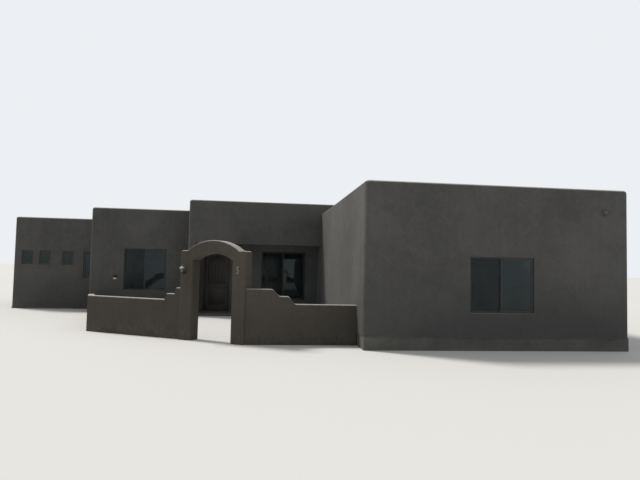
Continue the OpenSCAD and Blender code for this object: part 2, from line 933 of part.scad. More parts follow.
module hinge_frame_halves() {
    end_h = hinge_h / 3;
    color(bronze)
        at_hinges() {
            cylinder(h = end_h, r = knuckle_r);
            translate([0, 0, hinge_h - end_h]) cylinder(h = end_h, r = knuckle_r);
            cylinder(h = hinge_h, r = pin_r);
            mirror([1, 0, 0]) {
                hinge_plate(0, hinge_h, knuckle_r + hinge_plate_gap);
                hinge_plate(0, end_h, pin_r + hinge_plate_gap);
                hinge_plate(hinge_h - end_h, hinge_h, pin_r + hinge_plate_gap);
            }
        }
}

module hinge_leaf_halves() {
    low = hinge_h / 3 + knuckle_gap;
    high = hinge_h - low;
    color(bronze)
        at_hinges() {
            difference() {
                translate([0, 0, low]) cylinder(h = high - low, r = knuckle_r);
                cylinder(h = hinge_h, r = pin_r + pin_clearance);
            }
            hinge_plate(0, hinge_h, knuckle_r + hinge_plate_gap);
            hinge_plate(low, high, pin_r + hinge_plate_gap);
        }
}

// Plate on the edge of the leaf, from z0 to z1, that ends at a distance from the pin
module hinge_plate(z0, z1, from_pin) {
    translate([door_gap / 2 - hinge_plate_t, -knuckle_r - hinge_plate_d, z0])
        cube([hinge_plate_t, knuckle_r + hinge_plate_d - from_pin, z1 - z0]);
}

// Gateway, in three pieces that meet just below the arch
module gateway_left_pier() {
    color(stucco) on_gate() pier();
}

module gateway_right_pier() {
    color(stucco) on_gate() translate([gate_w - pier_w, 0, 0]) pier();
}

module gateway_arch() {
    color(stucco) on_gate() softened(gateway_outline(), gate_d, gate_joint);
}

// Court walls
module right_court_wall() {
    x0 = gate_near[0] + court_set * tan(gate_turn);
    color(stucco)
        translate([x0, gate_near[1] + court_set, 0])
            court_wall(stepped_places(right_x0 - x0, right_steps, right_heights), tan(gate_turn), 0);
}

module left_court_wall() {
    color(stucco)
        on_gate()
            translate([0, court_set, 0])
                mirror([1, 0, 0])
                    court_wall(stepped_places(court_left_l, left_steps, left_heights),
                               0, court_mitre * gate_run);
}

module return_court_wall() {
    color(stucco)
        translate([court_corner[0], court_corner[1], 0])
            rotate([0, 0, atan2(return_dir[1], return_dir[0])])
                mirror([0, 1, 0])
                    court_wall(stepped_places(return_l - hairline, return_steps, return_heights),
                               court_mitre * return_dir, -return_in[1] / return_dir[1]);
}

// Lantern on the gateway's left pier
module on_pier() {
    on_gate() translate([lantern_x, 0, lantern_z]) children();
}

module lantern_body() {
    bar_x = lantern_glass_w / 2 + lantern_bar_gap;
    color(bronze)
        on_pier() {
            translate([0, 0, lantern_arm_z])
                rotate([90, 0, 0]) {
                    cylinder(h = lantern_plate_t, r = lantern_plate_r);
                    cylinder(h = lantern_out, r = lantern_arm_r);
                }
            translate([0, -lantern_out, lantern_arm_z - lantern_arm_r])
                cylinder(h = lantern_base_z - lantern_arm_z + lantern_arm_r + eps, r = lantern_arm_r);
            translate([0, -lantern_out, lantern_base_z])
                cylinder(h = lantern_base_t, r = bar_x + lantern_bar + eps, $fn = 6);
            translate([0, -lantern_out, lantern_roof_z]) lantern_roof();
            for (i = [0 : 5])
                translate([0, -lantern_out, lantern_base_z])
                    rotate([0, 0, 60 * i])
                        translate([bar_x, -lantern_bar / 2, 0])
                            cube([lantern_bar, lantern_bar, lantern_roof_z - lantern_base_z + eps]);
        }
}

// Six-sided roof, where three slabs with sloping sides cross, and its finial
module lantern_roof() {
    slope_h = lantern_roof_h - lantern_finial_h - lantern_tip_h;
    intersection() {
        rotate([0, 0, 30]) roof_slab(slope_h);
        rotate([0, 0, 90]) roof_slab(slope_h);
        rotate([0, 0, 150]) roof_slab(slope_h);
    }
    cylinder(h = slope_h + lantern_finial_h, r = lantern_finial_r);
    cylinder(h = lantern_roof_h, r = lantern_tip_r);
}

module roof_slab(h) {
    eave = lantern_w / 2 * cos(30);
    crown = lantern_crown_w / 2 * cos(30);
    translate([0, lantern_w, 0])
        rotate([90, 0, 0])
            linear_extrude(2 * lantern_w)
                polygon([[-eave, 0], [eave, 0], [crown, h], [-crown, h]]);
}

module lantern_glass() {
    foot = lantern_base_z + lantern_base_t;
    color(lamp_glass)
        on_pier()
            translate([0, -lantern_out, foot])
                cylinder(h = lantern_roof_z - foot, d = lantern_glass_w, $fn = 6);
}

// Round vent cap: a flange, and a collar with a ring sunk in its face
module vent_cap() {
    ring_d = vent_collar_d - 2 * vent_ring_inset;
    color(stucco)
        on_front(right_x1 - vent_x, front_y)
            translate([0, 0, vent_z])
                rotate([90, 0, 0]) {
                    cylinder(h = vent_flange_t, d = vent_d);
                    difference() {
                        cylinder(h = vent_out, d = vent_collar_d);
                        translate([0, 0, vent_out - vent_ring_sink])
                            difference() {
                                cylinder(h = vent_ring_sink + eps, d = ring_d);
                                translate([0, 0, -eps])
                                    cylinder(h = vent_ring_sink + 3 * eps, d = ring_d - 2 * vent_ring_w);
                            }
                    }
                }
}

// Wall lamp: a half-round hood over a half-round lens
module wall_lamp() {
    color(bronze)
        on_front(left_x0 + lamp_x, left_y0)
            translate([0, 0, lamp_z]) {
                half_round(lamp_w / 2, lamp_h / 2);
                translate([0, 0, -lamp_h / 2]) half_round(lamp_w / 2 - lamp_lip, lamp_h / 2 + eps);
            }
}

module half_round(r, h) {
    linear_extrude(h)
        intersection() {
            circle(r);
            translate([-r, -r]) square([2 * r, r]);
        }
}

right_front_wall();
right_outer_wall();
right_inner_wall();
porch_beam_wall();
centre_front_wall();
centre_right_wall();
centre_back_wall();
centre_left_wall();
porch_side_wall();
entry_wall_left();
entry_wall_over_door();
entry_wall_right();
left_front_wall();
left_back_wall();
left_outer_wall();
end_front_wall();
end_back_wall();
end_outer_wall();
right_roof();
centre_roof();
left_roof();
end_roof();
porch_ceiling();
right_foundation();
house_floor();
front_window_frames();
end_window_frames();
rear_window_frames();
front_window_glass();
rear_window_glass();
door_frame();
door_leaf();
door_hardware();
hinge_frame_halves();
hinge_leaf_halves();
gateway_left_pier();
gateway_right_pier();
gateway_arch();
right_court_wall();
left_court_wall();
return_court_wall();
lantern_body();
lantern_glass();
vent_cap();
wall_lamp();
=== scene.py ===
"""Looks of the adobe house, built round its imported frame. Metres, +Z up, the front faces -Y."""

import contextlib
import json
import math

import bpy
from mathutils import Matrix, Vector

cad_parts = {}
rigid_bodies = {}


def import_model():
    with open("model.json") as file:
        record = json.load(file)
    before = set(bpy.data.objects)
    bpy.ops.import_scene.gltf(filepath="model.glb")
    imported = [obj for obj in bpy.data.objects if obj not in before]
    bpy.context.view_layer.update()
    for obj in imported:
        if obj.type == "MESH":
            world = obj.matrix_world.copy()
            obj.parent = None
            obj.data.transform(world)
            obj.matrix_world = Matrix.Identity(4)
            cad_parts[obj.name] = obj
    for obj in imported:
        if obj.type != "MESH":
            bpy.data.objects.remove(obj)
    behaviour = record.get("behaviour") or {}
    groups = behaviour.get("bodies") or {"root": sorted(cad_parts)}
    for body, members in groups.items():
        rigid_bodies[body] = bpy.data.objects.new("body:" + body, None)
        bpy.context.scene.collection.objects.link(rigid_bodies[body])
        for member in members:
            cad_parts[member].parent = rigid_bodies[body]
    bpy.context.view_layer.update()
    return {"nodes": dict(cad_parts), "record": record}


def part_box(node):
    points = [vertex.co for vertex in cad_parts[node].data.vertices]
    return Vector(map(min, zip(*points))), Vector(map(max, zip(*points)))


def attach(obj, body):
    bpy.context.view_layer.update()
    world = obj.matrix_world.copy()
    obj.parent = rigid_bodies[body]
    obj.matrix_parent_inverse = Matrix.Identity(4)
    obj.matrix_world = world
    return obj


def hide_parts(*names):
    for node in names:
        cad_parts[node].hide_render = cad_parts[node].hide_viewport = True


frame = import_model()
nodes = frame["nodes"]


# Modelling by hand: what is selected, where a piece lies, and how it is shaped


def deselect():
    for obj in bpy.context.view_layer.objects:
        obj.select_set(False)


def only(obj):
    """Makes one piece the piece that operators act on."""
    deselect()
    obj.select_set(True)
    bpy.context.view_layer.objects.active = obj
    return obj


def settle(obj):
    """Puts a piece's place, turn and size into its mesh."""
    only(obj)
    bpy.ops.object.transform_apply(location=True, rotation=True, scale=True)
    return obj


def carry(obj, to, turn=0.0):
    """Turns a piece about the upright through the origin and carries it to a point."""
    obj.location = to
    obj.rotation_euler = (0, 0, turn)
    return settle(obj)


def twin(obj):
    """A copy of a piece, with its own mesh."""
    made = obj.copy()
    made.data = obj.data.copy()
    bpy.context.scene.collection.objects.link(made)
    return made


@contextlib.contextmanager
def editing(obj, kind, test):
    """Edit mode with only those faces, edges or corners selected that pass a test."""
    only(obj)
    bpy.ops.object.mode_set(mode="EDIT")
    bpy.ops.mesh.select_mode(type=kind)
    bpy.ops.mesh.select_all(action="DESELECT")
    bpy.ops.object.mode_set(mode="OBJECT")
    mesh = obj.data
    if kind == "FACE":
        for face in mesh.polygons:
            face.select = test(face.center, face.normal)
    elif kind == "EDGE":
        for edge in mesh.edges:
            a, b = (mesh.vertices[i].co for i in edge.vertices)
            edge.select = test((a + b) / 2, (b - a).normalized())
    else:
        for corner in mesh.vertices:
            corner.select = test(corner.co, corner.normal)
    bpy.ops.object.mode_set(mode="EDIT")
    yield
    bpy.ops.object.mode_set(mode="OBJECT")


def block(low, high):
    deselect()
    centre = [(a + b) / 2 for a, b in zip(low, high)]
    bpy.ops.mesh.primitive_cube_add(size=1, location=centre)
    obj = bpy.context.object
    obj.scale = [b - a for a, b in zip(low, high)]
    return settle(obj)


def bar(start, end, radius, sides=24):
    """Round or many-sided bar from one point to another."""
    a, b = Vector(start), Vector(end)
    deselect()
    bpy.ops.mesh.primitive_cylinder_add(
        vertices=sides, radius=radius, depth=(b - a).length, location=(a + b) / 2
    )
    obj = bpy.context.object
    obj.rotation_euler = (b - a).to_track_quat("Z", "Y").to_euler()
    return settle(obj)


def ball(at, radius):
    deselect()
    bpy.ops.mesh.primitive_uv_sphere_add(segments=20, ring_count=12, radius=radius, location=at)
    return settle(bpy.context.object)


def ring(low, high, width):
    """Rectangular frame in x and z, open from front to back."""
    obj = block(low, high)
    with editing(obj, "FACE", lambda c, n: abs(n.y) > 0.9):
        bpy.ops.mesh.inset(thickness=width)
        bpy.ops.mesh.bridge_edge_loops()
    return obj


def finish_edges(obj, width, segments=2):
    """Rounds a piece's edges and shades it smoothly between them."""
    only(obj)
    bevel = obj.modifiers.new("edges", "BEVEL")
    bevel.width = width
    bevel.segments = segments
    bevel.limit_method = "ANGLE"
    bevel.angle_limit = math.radians(32)
    bpy.ops.object.modifier_apply(modifier=bevel.name)
    bpy.ops.object.shade_smooth_by_angle(angle=math.radians(35))
    return obj


def carve(obj, tool, operation="DIFFERENCE"):
    only(obj)
    cut = obj.modifiers.new("cut", "BOOLEAN")
    cut.operation = operation
    cut.solver = "EXACT"
    cut.object = tool
    bpy.ops.object.modifier_apply(modifier=cut.name)
    bpy.data.objects.remove(tool)
    return obj


def joined(parts):
    deselect()
    for part in parts:
        part.select_set(True)
    bpy.context.view_layer.objects.active = parts[0]
    if len(parts) > 1:
        bpy.ops.object.join()
    return parts[0]


def dress(obj, name, finish, body="house", stands_for=()):
    """Names a finished piece, gives it its finish and its body, and hides what it stands for."""
    obj.name = obj.data.name = name
    obj.data.materials.clear()
    obj.data.materials.append(finish)
    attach(obj, body)
    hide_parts(*stands_for)
    return obj


def solid_boxes(node):
    """Lowest and highest corner of every separate solid in a CAD node, from left to right."""
    mesh = nodes[node].data
    spot = [tuple(round(v, 4) for v in corner.co) for corner in mesh.vertices]
    leader = {p: p for p in spot}

    def root(p):
        while leader[p] != p:
            leader[p] = leader[leader[p]]
            p = leader[p]
        return p

    for face in mesh.polygons:
        first = root(spot[face.vertices[0]])
        for i in face.vertices[1:]:
            leader[root(spot[i])] = first
    groups = {}
    for p in leader:
        groups.setdefault(root(p), []).append(p)
    boxes = [
        (Vector(map(min, *points)), Vector(map(max, *points)))
        for points in groups.values()
    ]
    return sorted(boxes, key=lambda box: tuple(box[0]))


# Finishes


class Wire:
    """A shader value that takes part in sums; each operator adds its Math node."""

    def __init__(self, finish, socket):
        self.finish = finish
        self.socket = socket

    def maths(self, operation, *values):
        inputs = dict(enumerate(values))
        return self.finish.node("Math", {"operation": operation}, inputs)

    def __add__(self, other):
        return self.maths("ADD", self, other)

    def __radd__(self, other):
        return self.maths("ADD", other, self)

    def __sub__(self, other):
        return self.maths("SUBTRACT", self, other)

    def __rsub__(self, other):
        return self.maths("SUBTRACT", other, self)

    def __mul__(self, other):
        return self.maths("MULTIPLY", self, other)

    def __rmul__(self, other):
        return self.maths("MULTIPLY", other, self)

    def __truediv__(self, other):
        return self.maths("DIVIDE", self, other)

    def __mod__(self, other):
        return self.maths("FLOORED_MODULO", self, other)


class Finish:
    """One material, with its nodes built from Python expressions."""

    def __init__(self, name):
        self.material = bpy.data.materials.new(name)
        self.material.use_nodes = True
        self.tree = self.material.node_tree
        self.shader = self.tree.nodes["Principled BSDF"]
        self.at = self.node("TexCoord", output="Object")

    def node(self, kind, settings=(), inputs=(), output=0):
        """Adds a node: first its settings, then the values or links of its sockets."""
        made = self.tree.nodes.new("ShaderNode" + kind)
        for key, value in dict(settings).items():
            setattr(made, key, value)
        for key, value in dict(inputs).items():
            if isinstance(value, Wire):
                self.tree.links.new(value.socket, made.inputs[key])
            else:
                made.inputs[key].default_value = value
        return Wire(self, made.outputs[output])

    def place(self):
        """The three object coordinates, each a value."""
        return [self.node("SeparateXYZ", inputs={0: self.at}, output=i) for i in range(3)]

    def upward(self):
        """1 on level tops, 0 on upright faces."""
        normal = self.node("TexCoord", output="Normal")
        return self.node("SeparateXYZ", inputs={0: normal}, output=2)

    def stretched(self, stretch):
        settings = {"operation": "MULTIPLY"}
        return self.node("VectorMath", settings, {0: self.at, 1: stretch})

    def noise(self, scale, detail=4, roughness=0.5, twist=0.0, stretch=None):
        at = self.stretched(stretch) if stretch else self.at
        inputs = {
            "Vector": at,
            "Scale": scale,
            "Detail": detail,
            "Roughness": roughness,
            "Distortion": twist,
        }
        return self.node("TexNoise", {}, inputs)

    def cells(self, scale):
        return self.node("TexVoronoi", {"feature": "F1"}, {"Vector": self.at, "Scale": scale})

    def ease(self, value, low, high):
        """0 below low, 1 above high, and smooth between them."""
        settings = {"interpolation_type": "SMOOTHSTEP"}
        inputs = {"Value": value, "From Min": low, "From Max": high}
        return self.node("MapRange", settings, inputs)

    def tint(self, mask, dark, light):
        """The first colour where the mask is 0, the second where it is 1."""
        colours = [c if isinstance(c, Wire) else (*c, 1) for c in (dark, light)]
        inputs = {0: mask, 6: colours[0], 7: colours[1]}
        return self.node("Mix", {"data_type": "RGBA"}, inputs, output=2)

    def relief(self, height, strength=1.0):
        """Bump from a height in metres."""
        return self.node("Bump", {}, {"Strength": strength, "Distance": 1.0, "Height": height})

    def wear(self, **sockets):
        """Sets the shader's own sockets, or links what varies to them, and ends the material."""
        for key, value in sockets.items():
            socket = self.shader.inputs[key.replace("_", " ")]
            if isinstance(value, Wire):
                self.tree.links.new(value.socket, socket)
            elif isinstance(value, tuple):
                socket.default_value = (*value, 1)
            else:
                socket.default_value = value
        return self.material


def stucco_finish(name, dark, light, low_shade_and_soil):
    """Sand stucco: batches, float marks, grain, faint weather runs, painted shade low down with some soil
    splash, and level tops painted pale as a sunlit highlight with some bleaching.
    """
    f = Finish(name)
    height = f.place()[2]
    batches = f.noise(0.55, detail=3, twist=0.4)
    marks = f.noise(5.0, detail=5, roughness=0.6, twist=1.2)
    grain = f.noise(210, detail=2)
    runs = f.noise(1.0, detail=4, roughness=0.65, stretch=(7, 7, 0.35))
    tone = 0.42 * batches + 0.26 * marks + 0.14 * grain + 0.10 * runs
    plaster = f.tint(f.ease(tone, 0.30, 0.62), dark, light)
    # Darker low down: painted shade of the shadowed ground in front, with some soil splash
    low_shade_and_splash = 1 - f.ease(height + 0.5 * batches, 0.3, 2.2)
    plaster = f.tint(0.6 * low_shade_and_splash, plaster, low_shade_and_soil)
    edge = 0.16 + 0.34 * f.noise(2.2, detail=4)
    dust = (1 - f.ease(height / edge, 0.25, 1.5)) * f.ease(marks, 0.3, 0.75)
    plaster = f.tint(0.2 * dust, plaster, (0.185, 0.150, 0.118))
    # Level tops painted pale: a painted sunlit highlight, with some bleaching
    top = f.ease(f.upward() + 0.25 * (marks - 0.5), 0.45, 0.80)
    colour = f.tint(top, plaster, (0.36, 0.34, 0.31))
    sand = f.cells(330)
    surface = 0.0035 * marks + 0.0011 * grain + 0.0008 * sand + 0.004 * f.noise(1.6, detail=2)
    return f.wear(
        Base_Color=colour,
        Roughness=0.86 + 0.1 * grain,
        Specular_IOR_Level=0.25,
        Normal=f.relief(surface, 0.8),
    )


def concrete_finish():
    """Cast concrete: cloudy, with fine pores, stained darker towards the ground."""
    f = Finish("cast_concrete")
    height = f.place()[2]
    clouds = f.noise(1.8, detail=5, roughness=0.6)
    pores = f.ease(f.cells(85), 0.0, 0.22)
    grain = f.noise(260, detail=2)
    tone = 0.6 * clouds + 0.2 * grain + 0.2 * f.noise(14, detail=3)
    cast = f.tint(f.ease(tone, 0.3, 0.7), (0.062, 0.064, 0.057), (0.108, 0.106, 0.094))
    damp = 1 - f.ease(height + 0.1 * clouds, 0.02, 0.2)
    colour = f.tint(0.35 * damp, cast, (0.13, 0.105, 0.085))
    return f.wear(
        Base_Color=colour,
        Roughness=0.8 + 0.15 * grain,
        Normal=f.relief(0.0012 * pores + 0.0006 * grain + 0.002 * clouds, 0.7),
    )


def roofing_finish():
    """Pale granule cap sheet in lapped strips."""
    f = Finish("cap_sheet")
    _, along, _ = f.place()
    strip = (along + 0.02 * f.noise(3)) % 0.92
    lap = f.ease(strip, 0.0, 0.012) * (1 - f.ease(strip, 0.88, 0.92))
    granules = f.noise(420, detail=1)
    dirt = f.noise(0.8, detail=6, roughness=0.62)
    tone = 0.5 * granules + 0.5 * dirt
    sheet = f.tint(f.ease(tone, 0.3, 0.7), (0.33, 0.32, 0.30), (0.50, 0.49, 0.46))
    colour = f.tint(lap, (0.2, 0.19, 0.18), sheet)
    return f.wear(
        Base_Color=colour,
        Roughness=0.9,
        Normal=f.relief(0.003 * lap + 0.0012 * granules, 0.8),
    )


def bronze_finish():
    """Dark bronze window metal, with a little dust."""
    f = Finish("dark_bronze")
    dust = f.ease(f.noise(9, detail=5, roughness=0.65), 0.45, 0.8)
    brushed = f.noise(1, detail=3, stretch=(260, 260, 9))
    metal = f.tint(brushed, (0.012, 0.014, 0.0135), (0.022, 0.025, 0.0235))
    return f.wear(
        Base_Color=f.tint(0.2 * dust, metal, (0.085, 0.085, 0.078)),
        Metallic=0.2 - 0.15 * dust,
        Roughness=0.40 + 0.3 * dust,
        Normal=f.relief(0.0001 * brushed, 0.6),
    )


def rubber_finish():
    f = Finish("glazing_rubber")
    worn = f.noise(40, detail=3)
    return f.wear(
        Base_Color=f.tint(worn, (0.008, 0.008, 0.008), (0.02, 0.02, 0.019)),
        Roughness=0.7 + 0.2 * worn,
    )


def glass_finish():
    """Tinted window glass with a thin film of dust and smears."""
    f = Finish("tinted_glass")
    film = f.noise(1, detail=5, roughness=0.6, stretch=(2.4, 2.4, 1.1))
    smears = f.ease(f.noise(1, detail=3, twist=1.4, stretch=(5, 5, 9)), 0.5, 0.8)
    dust = 0.5 * f.ease(film, 0.4, 0.8) + 0.3 * smears
    return f.wear(
        Base_Color=f.tint(dust, (0.015, 0.021, 0.023), (0.032, 0.041, 0.043)),
        Roughness=0.025 + 0.07 * dust,
        IOR=1.52,
        Specular_IOR_Level=0.36,
        Specular_Tint=(0.86, 1.0, 1.0),
        Alpha=0.82 + 0.1 * dust,
    )


def screen_finish():
    """Dark woven insect screen, 1.6 mm from thread to thread, with dust in its weave."""
    f = Finish("insect_screen")
    across, along, height = f.place()
    pitch = 0.0016
    upright = f.ease((across + along) % pitch, 0.80 * pitch, 0.92 * pitch)
    level = f.ease(height % pitch, 0.80 * pitch, 0.92 * pitch)
    dust = f.ease(f.noise(5, detail=5, roughness=0.6), 0.4, 0.8)
    return f.wear(
        Base_Color=f.tint(dust, (0.018, 0.023, 0.023), (0.036, 0.041, 0.040)),
        Roughness=0.75,
        Alpha=1 - (1 - upright) * (1 - level),
    )


def timber_finish(name, stretch):
    """Dark stained wood whose grain runs along the axis that is stretched least."""
    f = Finish(name)
    figure = f.noise(1, detail=6, roughness=0.62, twist=0.5, stretch=[0.32 * s for s in stretch])
    pores = f.noise(1, detail=2, stretch=[3.2 * s for s in stretch])
    fade = f.noise(3, detail=3)
    tone = 0.62 * figure + 0.22 * pores + 0.16 * fade
    wood = f.tint(f.ease(tone, 0.36, 0.66), (0.008, 0.0055, 0.0045), (0.030, 0.019, 0.0135))
    return f.wear(
        Base_Color=wood,
        Roughness=0.42 + 0.2 * figure,
        Specular_IOR_Level=0.45,
        Coat_Weight=0.12,
        Coat_Roughness=0.35,
        Normal=f.relief(0.0005 * pores + 0.0005 * figure, 0.7),
    )


def iron_finish():
    """Black powder coat, its orange peel faintly dusty."""
    f = Finish("black_iron")
    peel = f.noise(380, detail=2)
    dust = f.ease(f.noise(22, detail=4), 0.5, 0.8)
    return f.wear(
        Base_Color=f.tint(0.4 * dust, (0.010, 0.010, 0.010), (0.07, 0.065, 0.055)),
        Metallic=0.4,
        Roughness=0.42 + 0.25 * dust,
        Normal=f.relief(0.00025 * peel, 0.7),
    )


def lantern_roof_highlight_finish():
    """The lantern roof's powder coat, its upward faces above the cage painted pale as a sunlit highlight.
    """
    f = Finish("iron_with_painted_highlight")
    height = f.place()[2]
    peel = f.noise(380, detail=2)
    blotch = f.noise(34, detail=4, roughness=0.6)
    facing = f.ease(f.upward() + 0.4 * (blotch - 0.5), 0.12, 0.55)
    # Painted highlight: pale where the roof faces up, above the cage
    painted_top_highlight = facing * f.ease(height, 1.697, 1.704)
    return f.wear(
        Base_Color=f.tint(painted_top_highlight, (0.012, 0.012, 0.012), (0.45, 0.44, 0.42)),
        Metallic=0.35 - 0.35 * painted_top_highlight,
        Roughness=0.42 + 0.35 * painted_top_highlight,
        Normal=f.relief(0.00025 * peel, 0.7),
    )


def seeded_finish(name, dark, light):
    """Seeded glass of the lamps."""
    f = Finish(name)
    seeds = f.cells(160)
    cloud = f.noise(30, detail=3)
    return f.wear(
        Base_Color=f.tint(cloud, dark, light),
        Roughness=0.22 + 0.2 * cloud,
        Alpha=0.9,
        Normal=f.relief(0.0006 * seeds, 0.6),
    )


def vent_finish():
    """Vent metal, painted over with the wall's colour."""
    f = Finish("painted_vent")
    peel = f.noise(300, detail=2)
    dirt = f.ease(f.noise(16, detail=5), 0.42, 0.75)
    return f.wear(
        Base_Color=f.tint(0.6 * dirt, (0.085, 0.082, 0.078), (0.048, 0.046, 0.043)),
        Roughness=0.55 + 0.25 * dirt,
        Metallic=0.1,
        Normal=f.relief(0.0003 * peel, 0.6),
    )


def number_finish():
    """Satin metal of the house number."""
    f = Finish("satin_number_metal")
    brushed = f.noise(1, detail=3, stretch=(40, 40, 900))
    stain = f.ease(f.noise(45, detail=4), 0.45, 0.8)
    return f.wear(
        Base_Color=f.tint(0.5 * stain, (0.22, 0.20, 0.17), (0.11, 0.10, 0.085)),
        Metallic=0.75,
        Roughness=0.36 + 0.2 * stain,
        Normal=f.relief(0.00015 * brushed, 0.6),
    )


# The third colour of each stucco is the painted shade low down, with some soil splash
house_stucco = stucco_finish(
    "house_stucco", (0.0635, 0.0625, 0.0600), (0.1020, 0.1000, 0.0965), (0.0555, 0.0570, 0.0560)
)
forecourt_stucco = stucco_finish(
    "forecourt_stucco", (0.0555, 0.0490, 0.0400), (0.0885, 0.0785, 0.0650), (0.0575, 0.0530, 0.0460)
)
# A lighter, bluer copy of the stucco for the porch recess: painted light in place of bounce light
porch_painted_light_stucco = stucco_finish(
    "porch_painted_light_stucco", (0.085, 0.088, 0.088), (0.137, 0.141, 0.141), (0.085, 0.087, 0.086)
)
bronze = bronze_finish()
rubber = rubber_finish()
glass = glass_finish()
screen = screen_finish()
upright_timber = timber_finish("door_timber_upright", (42, 42, 2.4))
cross_timber = timber_finish("door_timber_across", (2.4, 42, 42))
iron = iron_finish()
highlit_lantern_iron = lantern_roof_highlight_finish()
lens_glass = seeded_finish("pale_lens", (0.52, 0.51, 0.47), (0.74, 0.73, 0.68))
lantern_glass = seeded_finish("seeded_glass", (0.11, 0.11, 0.105), (0.20, 0.195, 0.185))
vent_paint = vent_finish()
number_metal = number_finish()
finishes = {
    "stucco": house_stucco,
    "concrete": concrete_finish(),
    "roofing": roofing_finish(),
    "bronze_frames": bronze,
    "window_glass": glass,
    "door_timber": upright_timber,
    "black_metal": iron,
    "lantern_glass": lantern_glass,
    "vent_metal": vent_paint,
}
for part in frame["record"]["subparts"]:
    obj = nodes[part["node"]]
    finish = finishes[part["material_slot"]]
    if part["node"].startswith("gateway_") or part["node"].endswith("_court_wall"):
        finish = forecourt_stucco
    # The porch walls and ceiling take the lighter copy: painted light in the shaded recess
    if part["node"].startswith(("entry_wall", "porch_side", "porch_ceiling")):
        finish = porch_painted_light_stucco
    if not obj.material_slots:
        obj.data.materials.append(finish)
    for slot in obj.material_slots:
        slot.material = finish


# Stucco walls: each block's walls as one seamless coat with soft corners and rolled tops

WALL = 0.25
CORNER_R = 0.12
CAP_R = 0.08
RIM = 0.012
PASSAGE_MARGIN = 0.02

rooms = {row["name"]: row["box_m"] for row in frame["record"]["physics"]["openings"]}


def span(names):
    """Lowest and highest corner of several CAD nodes together."""
    boxes = [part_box(name) for name in names]
    low = Vector([min(box[0][i] for box in boxes) for i in range(3)])
    high = Vector([max(box[1][i] for box in boxes) for i in range(3)])
    return low, high


def window_cuts():
    """Boxes through the walls at every window frame."""
    cuts = []
    for node in ("front_window_frames", "end_window_frames", "rear_window_frames"):
        for low, high in solid_boxes(node):
            along_x = high.x - low.x > high.y - low.y
            reach = Vector((0, WALL, 0)) if along_x else Vector((WALL, 0, 0))
            cuts.append((low - reach, high + reach))
    return cuts


def passage_cut(name):
    """Box of a passage between rooms, as wide as its wall is cut."""
    low, high = (Vector(corner) for corner in rooms[name])
    margin = Vector((PASSAGE_MARGIN, PASSAGE_MARGIN, PASSAGE_MARGIN))
    return low - margin, high + margin


def meets(cut, low, high):
    return all(cut[0][i] < high[i] and cut[1][i] > low[i] for i in range(3))


def stucco_ring(low, high, soft, open_side, cuts):
    """Walls round a rectangle, with its soft corners named, and open on one side if told."""
    shell = block(low, high)
    sides = {"left": low.x, "right": high.x, "front": low.y, "back": high.y}

    def depth(c):
        """How far in a point lies from the nearest closed side."""
        reach = {"left": c.x - low.x, "right": high.x - c.x, "front": c.y - low.y, "back": high.y - c.y}
        return min(reach[side] for side in reach if side != open_side)

    def is_soft(c, d):
        return abs(d.z) > 0.9 and any(
            abs(c.x - sides[a]) < 0.01 and abs(c.y - sides[b]) < 0.01 for a, b in soft
        )

    with editing(shell, "EDGE", is_soft):
        bpy.ops.mesh.bevel(offset=CORNER_R, segments=12, affect="EDGES", clamp_overlap=False)
    inner_low = Vector((low.x + WALL, low.y + WALL, low.z - 1))
    inner_high = Vector((high.x - WALL, high.y - WALL, high.z + 1))
    if open_side == "right":
        inner_high.x = high.x + 1
    if open_side == "back":
        inner_high.y = high.y + 1
    carve(shell, block(inner_low, inner_high))

    def on_top_rim(c, d):
        """Top edges along the outside or the inside, but not across an open end."""
        if open_side and abs((c.x if open_side == "right" else c.y) - sides[open_side]) < 0.002:
            return False
        return c.z > high.z - 0.001 and not 0.05 < depth(c) < WALL - 0.03

    with editing(shell, "EDGE", on_top_rim):
        bpy.ops.mesh.bevel(offset=CAP_R, segments=8, affect="EDGES", clamp_overlap=False)
    cuts = [cut for cut in cuts if meets(cut, low, high)]
    for cut in cuts:
        carve(shell, block(*cut))

    def on_opening(c, d):
        """Edges of an opening where it meets a wall's outer face."""
        return depth(c) < 0.001 and c.z > low.z + 0.001 and any(
            all(a - 0.001 < v < b + 0.001 for a, v, b in zip(cut[0], c, cut[1])) for cut in cuts
        )

    with editing(shell, "EDGE", on_opening):
        bpy.ops.mesh.bevel(offset=RIM, segments=3, affect="EDGES", clamp_overlap=False)
    only(shell)
    bpy.ops.object.shade_smooth_by_angle(angle=math.radians(35))
    return shell


def seamless(name, walls, soft, open_side=None, more_cuts=()):
    low, high = span(walls)
    shell = stucco_ring(low, high, soft, open_side, [*window_cuts(), *more_cuts])
    return dress(shell, name, house_stucco, stands_for=walls)


inner_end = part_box("right_inner_wall")[1]
seamless(
    "right_block_walls",
    ["right_front_wall", "right_outer_wall", "right_inner_wall"],
    soft=[("left", "front"), ("right", "front")],
    open_side="back",
    more_cuts=[((inner_end.x - WALL - 1, inner_end.y, 0), (inner_end.x + 1, inner_end.y + 1, 5))],
)
beam_low, beam_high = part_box("porch_beam_wall")
centre_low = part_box("centre_left_wall")[0]
porch_cut = ((centre_low.x + WALL, beam_low.y - 0.1, 0), (beam_high.x, beam_high.y + 0.001, beam_low.z))
seamless(
    "centre_block_walls",
    ["porch_beam_wall", "centre_front_wall", "centre_right_wall", "centre_back_wall", "centre_left_wall"],
    soft=[("left", "front"), ("left", "back"), ("right", "back")],
    more_cuts=[porch_cut, passage_cut("passage_to_right_room"), passage_cut("passage_to_left_room")],
)
seamless(
    "left_block_walls",
    ["left_front_wall", "left_outer_wall", "left_back_wall"],
    soft=[("left", "front"), ("left", "back")],
    open_side="right",
    more_cuts=[passage_cut("passage_to_end_room")],
)
seamless(
    "end_block_walls",
    ["end_front_wall", "end_outer_wall", "end_back_wall"],
    soft=[("left", "front"), ("left", "back")],
    open_side="right",
)


# Windows: each size is drawn once, with its lower left corner from outside at the origin


